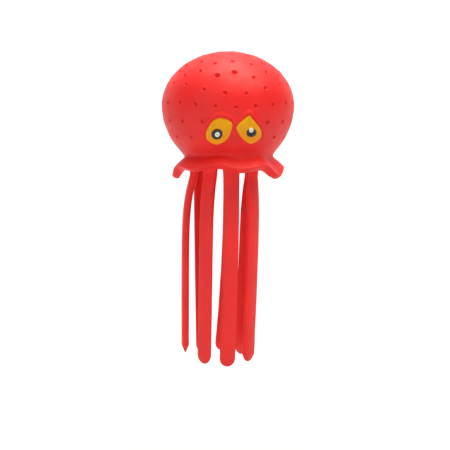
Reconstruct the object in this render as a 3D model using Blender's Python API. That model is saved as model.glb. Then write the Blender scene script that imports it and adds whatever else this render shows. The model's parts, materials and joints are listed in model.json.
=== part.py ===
"""Soft rubber octopus squeeze toy: a hollow stuffed head, a wavy skirt and eight flat hanging arms.

Metres, +Z up. The origin is the crown of the head, where a hand or a cord holds the toy up, and
everything hangs below it. The face looks towards -Y, and +X is on the right of someone facing it.
Azimuths turn from the face (0) towards +X (90).
"""
import math

import bmesh
import bpy
from mathutils import Vector

MM = 0.001

# Head: an egg of revolution, rounder above its equator and drawn in below it to the neck.
HEAD_RADIUS = 34.0 * MM
CROWN_TO_EQUATOR = 27.7 * MM
LOWER_SEMI_AXIS = 35.1 * MM
LOWER_EXPONENT = 1.88
NECK_DROP = 53.9 * MM
HEAD_WALL = 2.2 * MM
HEAD_SIDES = 36
FILLING_SIDES = 24

GAP = 0.3 * MM

# Base: the floor of the head, the skirt around it and the bung that closes the stuffing hole.
FLOOR_TOP = -NECK_DROP - GAP
FLOOR_RADIUS = 19.9 * MM
FLOOR_THICKNESS = 3.6 * MM
STUFFING_HOLE_RADIUS = 7.5 * MM
BUNG_FLANGE_RADIUS = 8.5 * MM
BUNG_FLANGE_THICKNESS = 1.2 * MM
BUNG_SIDES = 24
STUB_LENGTH = 3.0 * MM

# Skirt sections, at a lobe and between two lobes, as (radius, height) in millimetres: the middle
# of the rim, and the bends of the upper and of the lower side; then the rim's dip in degrees.
SKIRT_WAVES = 7
SKIRT_PHASE = math.radians(8.0)
SKIRT_STEPS_PER_WAVE = 9
SKIRT_THICKNESS = 3.8 * MM
SKIRT_ROOT_RADIUS = 20.3 * MM
LOBE_POINTS = ((26.6, -59.8), (24.6, -54.5), (22.0, -58.8))
LOBE_DIP = 50.0
TROUGH_POINTS = ((27.0, -58.8), (24.8, -54.5), (23.0, -58.3))
TROUGH_DIP = 36.0
# How much lower each lobe's rim hangs, in millimetres, from the front lobe towards +X, how much
# of that the rim between two lobes shares, and how much steeper a lobe is per millimetre of it.
LOBE_DROOPS = (0.0, 3.3, 3.0, 0.5, 0.5, 3.3, -0.6)
TROUGH_DROOP = 0.3
DROOP_DIP = 4.5

# Arms: flat strips hung in a ring, each cut at a root knuckle and at a middle knuckle.
ARM_WIDTH_TOP = 8.1 * MM
ARM_WIDTH_TIP = 7.5 * MM
ARM_THICKNESS_TOP = 3.9 * MM
ARM_THICKNESS_TIP = 3.5 * MM
ARM_SECTION_POINTS = 10
ARM_SECTION_EXPONENT = 2.6
ARM_TIP_LENGTH = 4.2 * MM
KNUCKLE_RADIUS = ARM_THICKNESS_TOP / 2
ROOT_HINGE_Z = FLOOR_TOP - FLOOR_THICKNESS - STUB_LENGTH - GAP - KNUCKLE_RADIUS
MIDDLE_HINGE_Z = -108.0 * MM
BULGE_DEPTH = 12.0 * MM
BULGE_EXPONENT = 1.2
BULGE_RINGS = (0.0, 0.35, 0.8, 1.4, 2.2)

# Each arm: azimuth in degrees, then millimetres: radius at the root, how far it bulges out just
# below the root, how far its tip leans out, how far its tip sways sideways, and its tip's drop.
ARMS = {
    "front": (0, 16.0, 0.0, 0.0, -2.2, 160.0),
    "front_right": (45, 15.4, 1.0, -2.0, -1.5, 158.4),
    "right": (86, 12.9, 0.9, -2.5, 0.0, 152.5),
    "rear_right": (129, 17.6, -3.4, -1.2, 3.8, 158.4),
    "rear": (168, 16.0, 0.0, 0.0, 4.9, 157.4),
    "rear_left": (-125, 17.0, 0.3, -1.4, 0.0, 156.8),
    "left": (-90, 17.6, 4.4, 0.3, 0.0, 155.2),
    "front_left": (-45, 14.4, 2.9, 1.0, -0.8, 159.0),
}

# Eyes: outlines on the face as (x, z) in millimetres, drawn on to the head's surface.
EYE_OUTLINES = {
    "left": ((-7.4, -34.7), (-4.0, -35.4), (-1.4, -37.2), (-1.5, -40.3), (-3.5, -45.3),
             (-8.5, -47.8), (-13.0, -45.5), (-13.8, -42.7), (-13.1, -39.8), (-10.8, -36.2)),
    "right": ((6.8, -33.5), (3.6, -35.9), (0.8, -39.1), (3.0, -43.7), (8.4, -47.4),
              (13.3, -44.7), (13.5, -41.0), (10.3, -36.7), (8.4, -34.8)),
}
# Each pupil and each glint: centre x and z, half width and half height, in millimetres.
PUPILS = {"left": (-8.4, -42.3, 2.6, 2.6), "right": (8.2, -41.5, 2.6, 2.0)}
GLINTS = {"left": (-8.2, -42.4, 1.2, 1.2), "right": (8.0, -40.4, 1.15, 1.15)}
EYE_LAYER = 0.5 * MM
EYE_LAYER_GAP = 0.35 * MM
EYE_OUTLINE_STEPS = 3
EYE_RINGS = (0.0, 0.35, 0.7, 1.0)
PUPIL_SIDES = 12

RUBBER_RED = (0.84, 0.03, 0.025)
ARM_RED = (0.80, 0.045, 0.035)
EYE_YELLOW = (0.72, 0.36, 0.015)
PUPIL_BLACK = (0.012, 0.012, 0.014)
GLINT_WHITE = (0.9, 0.9, 0.88)
FIBRE_WHITE = (0.85, 0.83, 0.78)


# ---------------------------------------------------------------- shapes

def head_radius(z, inset=0.0):
    """Radius of the head's surface at height z; inset shrinks the whole egg by that much."""
    drop = -z - CROWN_TO_EQUATOR
    if drop < 0.0:
        share, exponent = -drop / (CROWN_TO_EQUATOR - inset), 2.0
    else:
        share, exponent = drop / (LOWER_SEMI_AXIS - inset), LOWER_EXPONENT
    return (HEAD_RADIUS - inset) * max(0.0, 1.0 - share ** exponent) ** (1.0 / exponent)


def on_head(x, z, height):
    """The point of the face at x and z, raised from the head's surface by height."""
    radius = head_radius(z)
    slope = (head_radius(z + MM) - head_radius(z - MM)) / (2 * MM)
    point = Vector((x, -math.sqrt(radius * radius - x * x), z))
    normal = Vector((point.x, point.y, -radius * slope)).normalized()
    return point + normal * height


def circle(radius, z, count):
    """A level ring of points, or one point where the radius is nothing."""
    if radius == 0.0:
        return [Vector((0.0, 0.0, z))]
    turns = (math.tau * k / count for k in range(count))
    return [Vector((radius * math.sin(t), -radius * math.cos(t), z)) for t in turns]


def mix(low, high, share):
    return low + (high - low) * share


def through(points, steps):
    """A closed smooth curve through the points, with this many steps between two of them."""
    count = len(points)
    curve = []
    for k in range(count):
        before, here, after, beyond = (Vector(points[(k + n) % count]) for n in (-1, 0, 1, 2))
        for step in range(steps):
            t = step / steps
            curve.append(0.5 * (2 * here + (after - before) * t
                                + (2 * before - 5 * here + 4 * after - beyond) * t ** 2
                                + (3 * here - before - 3 * after + beyond) * t ** 3))
    return curve


# ---------------------------------------------------------------- meshes

def bridge(mesh, low, high):
    """Faces between two rings; either may be a single point."""
    count = max(len(low), len(high))
    for k in range(count):
        n = (k + 1) % count
        if len(low) == 1:
            mesh.faces.new((low[0], high[n], high[k]))
        elif len(high) == 1:
            mesh.faces.new((low[k], low[n], high[0]))
        else:
            mesh.faces.new((low[k], low[n], high[n], high[k]))


def loft(mesh, rings, closed=False):
    """Skin the rings in turn, then close the ends, or join the last ring to the first."""
    loops = [[mesh.verts.new(point) for point in ring] for ring in rings]
    for low, high in zip(loops, loops[1:]):
        bridge(mesh, low, high)
    if closed:
        bridge(mesh, loops[-1], loops[0])
    else:
        for end in (loops[0], loops[-1]):
            if len(end) > 1:
                mesh.faces.new(end)


def material(name, colour, roughness):
    made = bpy.data.materials.new(name)
    made.use_nodes = True
    shader = made.node_tree.nodes["Principled BSDF"]
    shader.inputs["Base Color"].default_value = (*colour, 1.0)
    shader.inputs["Roughness"].default_value = roughness
    shader.inputs["Metallic"].default_value = 0.0
    return made


def place(name, mesh, finish, parent=None, location=(0.0, 0.0, 0.0), turn=0.0):
    """Turn a bmesh into a named object, with its origin at location."""
    bmesh.ops.recalc_face_normals(mesh, faces=mesh.faces)
    data = bpy.data.meshes.new(name)
    mesh.to_mesh(data)
    mesh.free()
    data.shade_smooth()
    data.set_sharp_from_angle(angle=math.radians(40.0))
    data.materials.append(finish)
    made = bpy.data.objects.new(name, data)
    bpy.context.collection.objects.link(made)
    made.parent = parent
    made.location = location
    made.rotation_euler.z = turn
    return made


def pivot(name, location):
    made = bpy.data.objects.new(name, None)
    made.empty_display_size = 5 * MM
    made.location = location
    bpy.context.collection.objects.link(made)
    return made


# ---------------------------------------------------------------- head

def make_head(finish):
    """A thin egg-shaped dome, open at the neck."""
    steps = 9
    levels = [math.cos(math.pi / 2 * k / steps) for k in range(steps + 1)]
    mesh = bmesh.new()
    rings = []
    for inset in (0.0, HEAD_WALL):
        top = -inset
        upper = [-CROWN_TO_EQUATOR + (CROWN_TO_EQUATOR + top) * level for level in levels]
        lower = [mix(-CROWN_TO_EQUATOR, -NECK_DROP, k / 6) for k in range(1, 7)]
        wall = [circle(head_radius(z, inset) if k else 0.0, z, HEAD_SIDES)
                for k, z in enumerate(upper + lower)]
        rings += wall if inset == 0.0 else wall[::-1]
    loft(mesh, rings)
    return place("head_dome", mesh, finish)


def make_filling(finish):
    """The wad of fibre that fills the dome."""
    inset = HEAD_WALL + 2 * GAP
    steps = 7
    bottom = FLOOR_TOP + 2 * GAP
    mesh = bmesh.new()
    rings = []
    for k in range(steps + 1):
        z = -CROWN_TO_EQUATOR + (CROWN_TO_EQUATOR - inset) * math.cos(math.pi / 2 * k / steps)
        rings.append(circle(head_radius(z, inset) if k else 0.0, z, FILLING_SIDES))
    for k in range(1, 6):
        z = mix(-CROWN_TO_EQUATOR, bottom, k / 5)
        rings.append(circle(head_radius(z, inset), z, FILLING_SIDES))
    loft(mesh, rings)
    return place("head_filling", mesh, finish)


def make_patch(name, outline, layer, finish):
    """A thin layer that follows the face inside the outline; layers lie on one another."""
    centre = sum(outline, Vector((0.0, 0.0))) / len(outline)
    low = EYE_LAYER_GAP + layer * (EYE_LAYER + EYE_LAYER_GAP)
    rings = []
    for height, sizes in ((low, EYE_RINGS), (low + EYE_LAYER, EYE_RINGS[::-1])):
        for size in sizes:
            points = outline if size else outline[:1]
            places = [centre + (point - centre) * size for point in points]
            rings.append([on_head(spot.x, spot.y, height) for spot in places])
    mesh = bmesh.new()
    loft(mesh, rings)
    return place(name, mesh, finish)


def make_eyes(yellow, black, white):
    for side, points in EYE_OUTLINES.items():
        outline = [Vector(point) * MM for point in points]
        make_patch(f"eye_{side}", through(outline, EYE_OUTLINE_STEPS), 0, yellow)
    for layer, discs, kind, finish in ((1, PUPILS, "pupil", black), (2, GLINTS, "glint", white)):
        for side, (x, z, half_width, half_height) in discs.items():
            turns = [math.tau * k / PUPIL_SIDES for k in range(PUPIL_SIDES)]
            outline = [Vector((x + half_width * math.cos(t), z + half_height * math.sin(t))) * MM
                       for t in turns]
            make_patch(f"{kind}_{side}", outline, layer, finish)


# ---------------------------------------------------------------- base

def bend(start, middle, end, t):
    """A point of the parabola from start to end that is drawn towards middle."""
    return start.lerp(middle, t).lerp(middle.lerp(end, t), t)


def skirt_outline(azimuth):
    """The skirt's section at an azimuth, as (radius, height)."""
    lobe = 0.5 + 0.5 * math.cos(SKIRT_WAVES * (azimuth - SKIRT_PHASE))
    wave = (azimuth - SKIRT_PHASE) / math.tau * SKIRT_WAVES
    before = math.floor(wave)
    share = wave - before
    droop = mix(LOBE_DROOPS[before % SKIRT_WAVES], LOBE_DROOPS[(before + 1) % SKIRT_WAVES],
                share * share * (3.0 - 2.0 * share))
    rim, upper_bend, lower_bend = (Vector(trough).lerp(Vector(full), lobe) * MM
                                   for trough, full in zip(TROUGH_POINTS, LOBE_POINTS))
    dip = math.radians(mix(TROUGH_DIP, LOBE_DIP + DROOP_DIP * droop, lobe))
    droop = Vector((0.0, -mix(TROUGH_DROOP, 1.0, lobe) * droop * MM))
    rim += droop
    half = SKIRT_THICKNESS / 2
    along = Vector((math.cos(dip), -math.sin(dip))) * half
    out = Vector((math.sin(dip), math.cos(dip))) * half
    top, bottom = (Vector((SKIRT_ROOT_RADIUS, FLOOR_TOP - drop)) for drop in (0.0, 2 * half))
    upper = [bend(top, upper_bend, rim + out, t) for t in (0.0, 0.35, 0.7, 1.0)]
    edge = [rim + out * math.cos(a) + along * math.sin(a)
            for a in (math.radians(50), math.radians(130))]
    lower = [bend(bottom, lower_bend + droop / 2, rim - out, t) for t in (1.0, 0.7, 0.35, 0.0)]
    return upper + edge + lower


def make_skirt(finish, base):
    """A thick flange that leaves the neck level and falls in waves to a rounded rim."""
    sections = []
    for k in range(SKIRT_WAVES * SKIRT_STEPS_PER_WAVE):
        azimuth = math.tau * k / (SKIRT_WAVES * SKIRT_STEPS_PER_WAVE)
        sections.append([Vector((point.x * math.sin(azimuth), -point.x * math.cos(azimuth),
                                 point.y - FLOOR_TOP)) for point in skirt_outline(azimuth)])
    mesh = bmesh.new()
    loft(mesh, sections, closed=True)
    return place("skirt", mesh, finish, base)


def make_floor(finish, base):
    """A round plate with the stuffing hole and eight short stubs that the arms hang under."""
    mesh = bmesh.new()
    walls = ((FLOOR_RADIUS, 0.0), (FLOOR_RADIUS, -FLOOR_THICKNESS),
             (STUFFING_HOLE_RADIUS, -FLOOR_THICKNESS), (STUFFING_HOLE_RADIUS, 0.0))
    loft(mesh, [circle(radius, z, HEAD_SIDES) for radius, z in walls], closed=True)
    floor = place("mantle_floor", mesh, finish, base)

    mesh = bmesh.new()
    for azimuth, root_radius, *_ in ARMS.values():
        section = arm_section(ARM_WIDTH_TOP / 2, ARM_THICKNESS_TOP / 2)
        tall = (-FLOOR_THICKNESS / 2, -FLOOR_THICKNESS - STUB_LENGTH)
        rings = [[arm_point(azimuth, root_radius * MM + out, side, z) for side, out in section]
                 for z in tall]
        loft(mesh, rings)
    stubs = place("root_stubs", mesh, finish, base)
    stubs.hide_render = True
    stubs.display_type = "WIRE"
    union = floor.modifiers.new("stubs", "BOOLEAN")
    union.operation = "UNION"
    union.object = stubs
    return floor


def make_bung(finish, base):
    """The stopper of the stuffing hole, with a flange that covers the hole's edge."""
    stem = STUFFING_HOLE_RADIUS - GAP
    flange_top = -FLOOR_THICKNESS - GAP
    walls = ((0.0, 0.0), (stem, 0.0), (stem, flange_top), (BUNG_FLANGE_RADIUS, flange_top),
             (BUNG_FLANGE_RADIUS, flange_top - BUNG_FLANGE_THICKNESS),
             (0.0, flange_top - BUNG_FLANGE_THICKNESS))
    mesh = bmesh.new()
    loft(mesh, [circle(radius, z, BUNG_SIDES) for radius, z in walls])
    return place("filling_bung", mesh, finish, base)


# ---------------------------------------------------------------- arms

def arm_point(azimuth, out, side, z):
    """A point at radius out and sideways by side, from the azimuth's own direction."""
    turn = math.radians(azimuth)
    return Vector((out * math.sin(turn) + side * math.cos(turn),
                   -out * math.cos(turn) + side * math.sin(turn), z))


def arm_section(half_width, half_thickness):
    """A rounded flat strip's cross-section, as (side, out) pairs."""
    power = 2.0 / ARM_SECTION_EXPONENT
    section = []
    for k in range(ARM_SECTION_POINTS):
        turn = math.tau * (k + 0.5) / ARM_SECTION_POINTS
        side, out = math.cos(turn), math.sin(turn)
        section.append((math.copysign(half_width * abs(side) ** power, side),
                        math.copysign(half_thickness * abs(out) ** power, out)))
    return section


def arm_shape(arm, z):
    """Where an arm is at height z: its middle's radius and side, and its half sizes."""
    _, root_radius, bulge, lean, sway, drop = ARMS[arm]
    depth = max(0.0, ROOT_HINGE_Z - z)
    share = depth / (ROOT_HINGE_Z + drop * MM)
    bulged = 1.0 - math.exp(-((depth / BULGE_DEPTH) ** BULGE_EXPONENT))
    radius = (root_radius + bulge * bulged + lean * share) * MM
    side = sway * share * share * MM
    half_width = mix(ARM_WIDTH_TOP, ARM_WIDTH_TIP, share) / 2
    half_thickness = mix(ARM_THICKNESS_TOP, ARM_THICKNESS_TIP, share) / 2
    return radius, side, half_width, half_thickness


def arm_ring(arm, z, centre_z, wide=1.0, thick=1.0):
    """A ring of the arm at z, placed and sized as the arm is at centre_z."""
    radius, side, half_width, half_thickness = arm_shape(arm, centre_z)
    return [(side + s, radius + out, z)
            for s, out in arm_section(half_width * wide, half_thickness * thick)]


def knuckle(arm, hinge_z):
    """The half-round end that turns under the piece above it."""
    half_thickness = arm_shape(arm, hinge_z)[3]
    turns = [math.radians(angle) for angle in (84, 60, 35, 12)]
    return [arm_ring(arm, hinge_z + half_thickness * math.sin(t), hinge_z, thick=math.cos(t))
            for t in turns]


def tip(arm, tip_z):
    """The last stretch, rounded seen from the front and a blunt wedge seen from the side."""
    start = tip_z + ARM_TIP_LENGTH
    shares = (0.0, 0.35, 0.65, 0.87, 1.0)
    return [arm_ring(arm, start - ARM_TIP_LENGTH * share, start - ARM_TIP_LENGTH * share,
                     wide=max(0.2, math.sqrt(1.0 - share * share)), thick=1.0 - 0.75 * share)
            for share in shares]


def make_arm(arm, finish, base):
    """Two strips: the upper one turns about the root knuckle, the lower about the middle one."""
    azimuth, *_, drop = ARMS[arm]
    turn = math.radians(azimuth)
    upper_end = MIDDLE_HINGE_Z + arm_shape(arm, MIDDLE_HINGE_Z)[3] + GAP
    bulge_levels = [ROOT_HINGE_Z - BULGE_DEPTH * ring for ring in BULGE_RINGS]
    straight = [mix(bulge_levels[-1], upper_end, k / 2) for k in (1, 2)]
    lower_levels = [mix(MIDDLE_HINGE_Z, -drop * MM + ARM_TIP_LENGTH, k / 4) for k in range(4)]
    pieces = {
        "upper": (ROOT_HINGE_Z,
                  knuckle(arm, ROOT_HINGE_Z) + [arm_ring(arm, z, z) for z in bulge_levels + straight]),
        "lower": (MIDDLE_HINGE_Z,
                  knuckle(arm, MIDDLE_HINGE_Z) + [arm_ring(arm, z, z) for z in lower_levels]
                  + tip(arm, -drop * MM)),
    }
    above, above_at = base, Vector((0.0, 0.0, FLOOR_TOP))
    for half, (hinge_z, rings) in pieces.items():
        radius, side, *_ = arm_shape(arm, hinge_z)
        mesh = bmesh.new()
        loft(mesh, [[Vector((s - side, radius - out, z - hinge_z)) for s, out, z in ring]
                    for ring in rings])
        hinge = arm_point(azimuth, radius, side, hinge_z)
        if above is base:
            location, angle = hinge - above_at, turn
        else:
            hung = arm_shape(arm, ROOT_HINGE_Z)
            location, angle = Vector((side - hung[1], hung[0] - radius, hinge_z - ROOT_HINGE_Z)), 0.0
        above = place(f"arm_{arm}_{half}", mesh, finish, above, location, angle)


def main():
    for old in list(bpy.data.objects):
        bpy.data.objects.remove(old, do_unlink=True)

    red = material("rubber_red", RUBBER_RED, 0.42)
    arm_red = material("arm_red", ARM_RED, 0.5)
    fibre = material("fibre_white", FIBRE_WHITE, 0.95)
    yellow = material("eye_yellow", EYE_YELLOW, 0.45)
    black = material("pupil_black", PUPIL_BLACK, 0.4)
    white = material("glint_white", GLINT_WHITE, 0.4)

    make_head(red)
    make_filling(fibre)
    make_eyes(yellow, black, white)

    base = pivot("base_slide", (0.0, 0.0, FLOOR_TOP))
    make_skirt(red, base)
    make_floor(red, base)
    make_bung(red, base)
    for arm in ARMS:
        make_arm(arm, arm_red, base)


if __name__ == "__main__":
    main()
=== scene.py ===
"""The looks of a soft rubber octopus squeeze toy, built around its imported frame.

The frame holds the crown at the origin, +Z up, and the face looks towards -Y. Azimuths turn from
the face (0) towards +X (90). Lengths are metres.
"""
import functools
import json
import math

import bmesh
import bpy
from bpy.props import FloatProperty, FloatVectorProperty, IntProperty, PointerProperty
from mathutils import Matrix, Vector, kdtree, noise


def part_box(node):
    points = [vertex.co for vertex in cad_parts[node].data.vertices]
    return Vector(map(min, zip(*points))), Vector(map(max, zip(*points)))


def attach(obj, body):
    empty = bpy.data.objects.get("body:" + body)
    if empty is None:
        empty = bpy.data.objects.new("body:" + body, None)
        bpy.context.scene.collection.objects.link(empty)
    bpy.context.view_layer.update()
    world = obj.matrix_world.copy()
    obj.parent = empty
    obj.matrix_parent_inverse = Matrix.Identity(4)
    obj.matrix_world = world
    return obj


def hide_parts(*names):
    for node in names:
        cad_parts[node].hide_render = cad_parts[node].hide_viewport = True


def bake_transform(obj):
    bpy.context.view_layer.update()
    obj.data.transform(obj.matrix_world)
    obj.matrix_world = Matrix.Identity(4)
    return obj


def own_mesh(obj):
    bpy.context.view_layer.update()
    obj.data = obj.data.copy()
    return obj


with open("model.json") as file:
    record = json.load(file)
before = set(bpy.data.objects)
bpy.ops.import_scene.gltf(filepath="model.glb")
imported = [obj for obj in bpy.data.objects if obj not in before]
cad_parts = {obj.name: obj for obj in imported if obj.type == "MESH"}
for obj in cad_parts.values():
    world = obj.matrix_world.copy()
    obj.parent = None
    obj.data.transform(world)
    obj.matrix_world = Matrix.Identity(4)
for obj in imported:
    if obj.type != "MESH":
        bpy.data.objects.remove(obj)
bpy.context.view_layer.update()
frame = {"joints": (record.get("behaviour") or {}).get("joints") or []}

bl_info = {
    "name": "Octopus Squeeze Toy",
    "version": (1, 0, 0),
    "blender": (4, 5, 0),
    "location": "View3D > Sidebar > Octopus Toy",
    "description": "Builds the skin, eyes, arms, stuffing and stage of an octopus squeeze toy",
    "category": "Add Mesh",
}

MM = 0.001
HEAD_LOW, HEAD_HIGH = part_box("head_dome")
FLOOR_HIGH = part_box("mantle_floor")[1]
FLOOR_UNDERSIDE = FLOOR_HIGH.z - 3.6 * MM
FLOOR_EDGE = 20.6 * MM          # radius of the plate that closes the head
INSIDE_RADIUS = 20.4 * MM       # radius of the skin's inside where the plate is bonded in
BUNG_LOW, BUNG_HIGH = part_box("filling_bung")
HINGES = {joint["name"]: Vector(joint["pos_m"]) for joint in frame["joints"] if "pos_m" in joint}

# Each arm: azimuth in degrees, then millimetres: radius at the root, how far it bulges out just
# below the root, how far its tip leans out, how far its tip sways sideways, and its tip's drop.
ARMS = {
    "front": (0, 16.0, 0.0, 0.0, -2.2, 160.0),
    "front_right": (45, 15.4, 1.9, -2.9, -1.5, 158.4),
    "right": (86, 12.9, 0.9, -2.5, 0.0, 152.5),
    "rear_right": (129, 17.6, -3.4, -1.2, 3.8, 158.4),
    "rear": (168, 16.0, 0.0, 0.0, 4.9, 157.4),
    "rear_left": (-125, 17.0, 0.3, -1.4, 0.0, 156.8),
    "left": (-90, 17.6, 4.4, 0.3, 0.0, 155.2),
    "front_left": (-45, 14.4, 2.9, 1.0, -0.8, 159.0),
}

BULGE_EXPONENT = 1.2            # how abruptly an arm bulges out below its root
ROOT_OVERLAP = 1.2 * MM         # how far an arm reaches up into the floor plate
SEAM_HEIGHT = 13 * MM           # where an arm's two strips meet, above its middle bend
BEND_REACH = 8 * MM             # heights above and below the middle bend, listed with each lower strip but not used

# Eyes: outlines on the face as (x, z) in millimetres, drawn on to the head's surface.
EYE_OUTLINES = {
    "left": ((-7.4, -34.7), (-4.0, -35.4), (-1.4, -37.2), (-1.5, -40.3), (-3.5, -45.3),
             (-8.5, -47.8), (-13.0, -45.5), (-13.8, -42.7), (-13.1, -39.8), (-10.8, -36.2)),
    "right": ((6.8, -33.5), (3.6, -35.9), (0.8, -39.1), (3.0, -43.7), (8.4, -47.4),
              (13.3, -44.7), (13.5, -41.0), (10.3, -36.7), (8.4, -34.8)),
}
# Each pupil and each glint: centre x and z, half width and half height, in millimetres.
PUPILS = {"left": (-8.4, -42.3, 2.7, 2.65), "right": (8.2, -41.6, 2.6, 2.1)}
GLINTS = {"left": (-8.2, -42.4, 1.3, 1.3), "right": (8.0, -40.4, 1.2, 1.2)}

PAINT_FOOT = -0.6 * MM          # the underside of every eye layer, inside the rubber

# Rings of pits round the head: how many, azimuth of one of them, polar angle, how much lower the
# ring dips at the face, and how far every other pit is set lower. Degrees.
PIT_RINGS = (
    (4, 20.0, 11.0, 0.0, 0.0),
    (10, 0.2, 28.5, 0.0, 5.0),
    (16, 0.3, 46.0, 0.0, 4.3),
    (20, 0.4, 58.0, 4.0, 5.5),
    (19, -8.8, 71.0, 11.0, 0.0),
    (21, 0.8, 88.0, 5.0, 0.0),
    (18, -9.0, 104.0, 1.5, 0.0),
    (16, 1.0, 118.5, 0.0, 0.0),
)
# The two largest pits, one above each eye: azimuth and polar angle.
LARGE_PITS = ((-16.6, 65.4), (0.4, 61.8))
LARGE_PIT_ROOM = 5 * MM         # no other pit's middle is nearer to theirs
EYE_MARGIN = 2.2 * MM           # nor any pit's to an eye's outline

# Skirt sections, at a lobe and between two lobes, as (radius, height) in millimetres: the crease
# below the head, the middle of the rim, and the bends of the upper and of the lower side.
LOBE_POINTS = ((21.4, -53.3), (26.7, -60.2), (24.6, -55.2), (22.0, -58.8))
TROUGH_POINTS = ((21.9, -52.9), (27.0, -58.3), (24.9, -53.5), (23.0, -58.3))
TROUGH_ROUNDING, LOBE_ROUNDING = 0.5, 0.85      # of the rim's edge: 1 is round, less squarer
HEAD_RINGS = 78                 # rings of the mesh from the crown to the crease
CREASE_REACH = 8                # rings on either side of the crease that are smoothed
POINTS_PER_LOBE = 30            # of each ring
# How much lower each lobe's rim hangs, in millimetres, from the front lobe towards +X.
LOBE_DROOPS = (0.0, 3.3, 3.0, 0.5, 0.5, 3.3, -0.6)


# ---- settings

def length(name, description, default):
    return FloatProperty(name=name, description=description, default=default,
                         unit="LENGTH", subtype="DISTANCE", precision=5)


def angle(name, description, degrees):
    return FloatProperty(name=name, description=description, default=math.radians(degrees),
                         subtype="ANGLE")


def whole(name, description, default, **limits):
    return IntProperty(name=name, description=description, default=default, **limits)


def share(name, description, default):
    return FloatProperty(name=name, description=description, default=default,
                         min=0.0, max=1.0, subtype="FACTOR")


def colour(name, description, default):
    return FloatVectorProperty(name=name, description=description, default=default,
                               min=0.0, max=1.0, size=3, subtype="COLOR")


class HeadSettings(bpy.types.PropertyGroup):
    """Sizes of the egg-shaped head."""
    radius: length("Radius", "Radius at the equator", HEAD_HIGH.x)
    equator_drop: length("Equator Drop", "Height from the equator to the crown", 27.7 * MM)
    lower_semi_axis: length("Lower Semi-Axis", "How far the lower half would reach", 35.1 * MM)
    wall: length("Wall", "Thickness of the rubber", 2.2 * MM)
    crease_softness: whole("Crease Softness", "Smoothing passes over the neck's crease", 12,
                           min=0)
    brow_height: length("Brow Height", "How far the ridge over an eye stands out", 0.75 * MM)
    groove_depth: length("Groove Depth", "Depth of the groove round an eye", 0.3 * MM)


class PitSettings(bpy.types.PropertyGroup):
    """Sizes of the pits in the head."""
    radius: length("Radius", "Radius of an ordinary pit", 1.15 * MM)
    large_radius: length("Large Radius", "Radius of the two largest pits", 1.65 * MM)
    depth: share("Depth", "Depth of a pit as a share of its radius", 0.95)
    lip: share("Lip", "Height of the raised edge as a share of the radius", 0.09)
    scatter: length("Scatter", "How far a pit may lie off its ring", 0.4 * MM)
    seed: whole("Seed", "Seed of the pits' scatter", 4)


class SkirtSettings(bpy.types.PropertyGroup):
    """Sizes of the wavy flange under the head."""
    waves: whole("Waves", "Lobes round the rim", 7, min=1)
    phase: angle("Phase", "Azimuth of the front lobe", 8.0)
    thickness: length("Thickness", "Thickness of the flange", 4.0 * MM)
    trough_droop: share("Trough Droop", "How much of the lobes' droop the rim between has", 0.45)
    lobe_dip: angle("Lobe Dip", "How steeply the rim points down at a lobe", 60.0)
    droop_dip: angle("Droop Dip", "How much steeper a lobe is per millimetre of droop", 2.0)
    trough_dip: angle("Trough Dip", "How steeply the rim points down between two lobes", 36.0)
    undercut: share("Undercut", "How far the rim's face slants in below", 1.0)
    rim_reach: length("Rim Reach", "How far the rim ends past its middle", 1.4 * MM)


class EyeSettings(bpy.types.PropertyGroup):
    """Sizes of the painted eyes."""
    pad_height: length("Pad Height", "How far a yellow pad stands out", 0.7 * MM)
    pupil_height: length("Pupil Height", "How far a pupil stands out of its pad", 0.22 * MM)
    glint_height: length("Glint Height", "How far a glint stands out of its pupil", 0.22 * MM)


class ArmSettings(bpy.types.PropertyGroup):
    """Sizes of the hanging arms."""
    width_top: length("Width at the Root", "Width of an arm at its root", 8.1 * MM)
    width_tip: length("Width at the Tip", "Width of an arm above its tip", 7.9 * MM)
    thickness_top: length("Thickness at the Root", "Thickness at the root", 3.9 * MM)
    thickness_tip: length("Thickness at the Tip", "Thickness above the tip", 3.8 * MM)
    bulge_depth: length("Bulge Depth", "Height over which an arm bulges out", 12.0 * MM)
    tip_length: length("Tip Length", "Length of the rounded wedge at the tip", 4.2 * MM)
    flare: share("Flare", "How much wider an arm is where it leaves the body", 0.3)


class FillingSettings(bpy.types.PropertyGroup):
    """The wad of fibre in the head."""
    lump_height: length("Lump Height", "How far the wad's surface is uneven", 0.45 * MM)
    fibres: whole("Fibres", "Loose fibres on the wad", 900, min=0)
    fibre_length: length("Fibre Length", "Length of a loose fibre", 6.0 * MM)
    fibre_radius: length("Fibre Radius", "Radius of a loose fibre", 0.05 * MM)
    seed: whole("Seed", "Seed of the fibres' places", 11)


class ColourSettings(bpy.types.PropertyGroup):
    """Colours of the toy."""
    skin: colour("Skin", "Red of the head and the skirt", (0.86, 0.012, 0.010))
    # Painted light: the arms' red is lighter than the skin's, raised to stand in for more light on
    # the arms; the floor plate and the bung share it.
    arm: colour("Arm", "Red of the arms", (0.93, 0.024, 0.021))
    yellow: colour("Eye Yellow", "Paint of the eye pads", (0.85, 0.40, 0.003))
    black: colour("Pupil Black", "Paint of the pupils", (0.012, 0.010, 0.012))
    white: colour("Glint White", "Paint of the glints", (0.88, 0.87, 0.84))
    fibre: colour("Fibre", "Colour of the stuffing", (0.84, 0.82, 0.77))


class StageSettings(bpy.types.PropertyGroup):
    """Camera, light and floor."""
    camera_distance: length("Camera Distance", "From the camera to the toy's axis", 0.6)
    camera_turn: angle("Camera Turn", "Azimuth of the camera", -6.0)
    camera_drop: length("Camera Drop", "Height of the camera below the crown", 50.3 * MM)
    aim_drop: length("Aim Drop", "Height of the view's middle below the crown", 89.05 * MM)
    camera_shift: length("Camera Shift", "How far the camera stands to the left", 1.5 * MM)
    view_width: length("View Width", "Width of the view at the toy", 232.3 * MM)
    floor_drop: length("Floor Drop", "Height of the floor below the crown", 0.30)


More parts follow.
